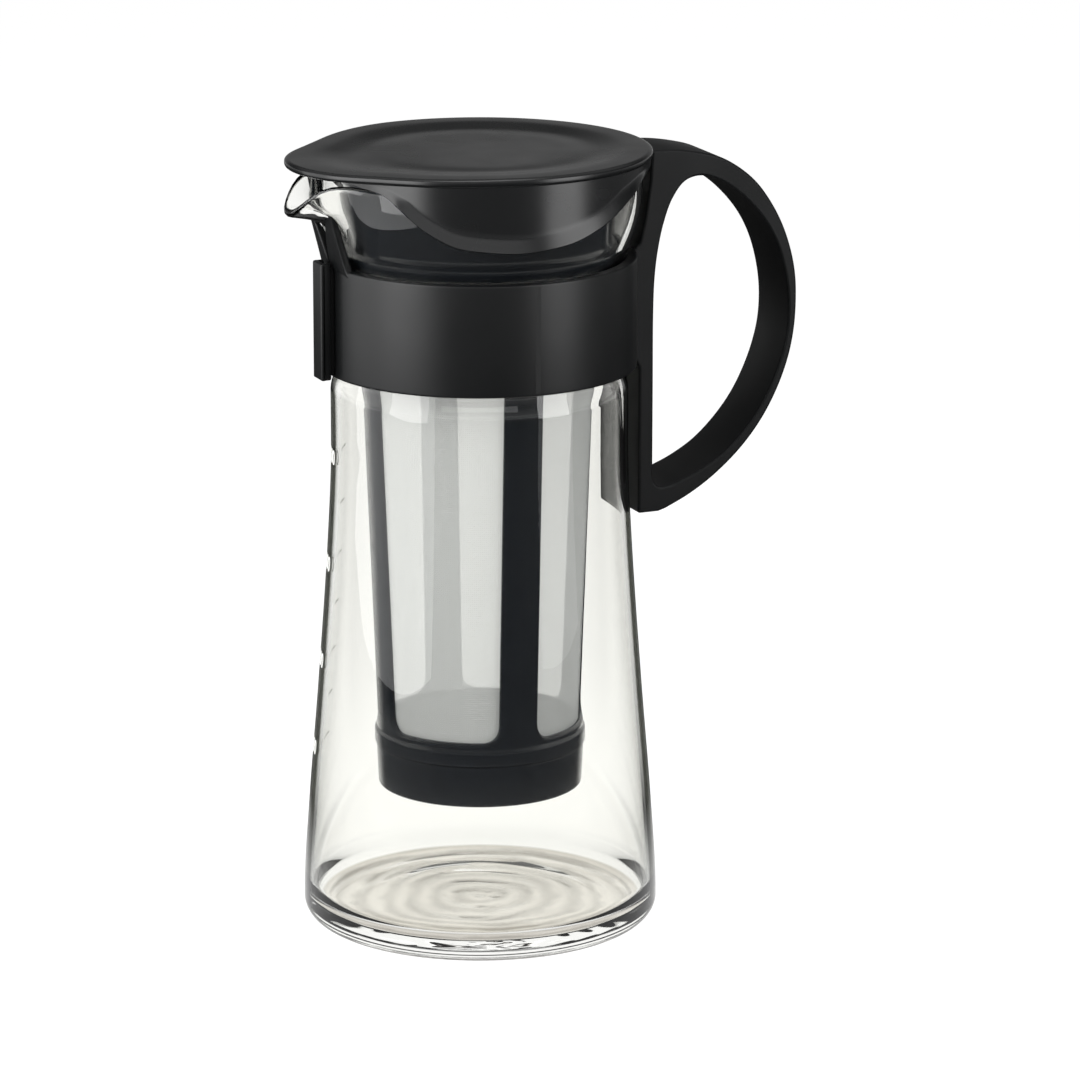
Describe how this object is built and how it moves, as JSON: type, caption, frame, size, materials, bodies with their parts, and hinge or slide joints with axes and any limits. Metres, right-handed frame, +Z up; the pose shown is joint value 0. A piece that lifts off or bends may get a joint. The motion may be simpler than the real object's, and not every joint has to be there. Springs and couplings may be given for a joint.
{
  "type": "cold brew coffee maker",
  "caption": "Glass jug with a clamped band and strap handle, a lift-out mesh filter with a pull-off cap, and a saucer lid with a nose over the pouring lip.",
  "frame": {"origin": "centre of the jug's foot, on the table plane", "axes": "+Z up, +X towards the handle, -X towards the pouring lip, +Y to the left when looking along +X"},
  "size_m": [0.1299, 0.087, 0.1915],
  "materials": {
    "glass": "clear borosilicate, blown",
    "black_plastic": "fine matte moulded polypropylene",
    "filter_plastic": "glossy moulded polypropylene",
    "mesh": "fine woven polyester mesh"
  },
  "bodies": {
    "root": {"glass_jug": "glass", "handle_band": "black_plastic"},
    "band_clip": {"band_clip": "black_plastic"},
    "filter": {"filter_frame": "filter_plastic", "filter_mesh": "mesh"},
    "lid": {"lid": "black_plastic"},
    "filter_cap": {"filter_cap": "filter_plastic"}
  },
  "joints": [
    {"name": "filter_lift", "type": "slide", "parent": "root", "child": "filter", "axis": [0, 0, 1], "range_m": [0, 0.165]},
    {"name": "lid_lift", "type": "slide", "parent": "filter", "child": "lid", "axis": [0, 0, 1], "range_m": [0, 0.03]},
    {"name": "cap_pull", "type": "slide", "parent": "filter", "child": "filter_cap", "axis": [0, 0, -1], "range_m": [0, 0.02]},
    {"name": "clip_slide", "type": "slide", "parent": "root", "child": "band_clip", "axis": [0, 0, -1], "range_m": [0, 0.03]}
  ]
}
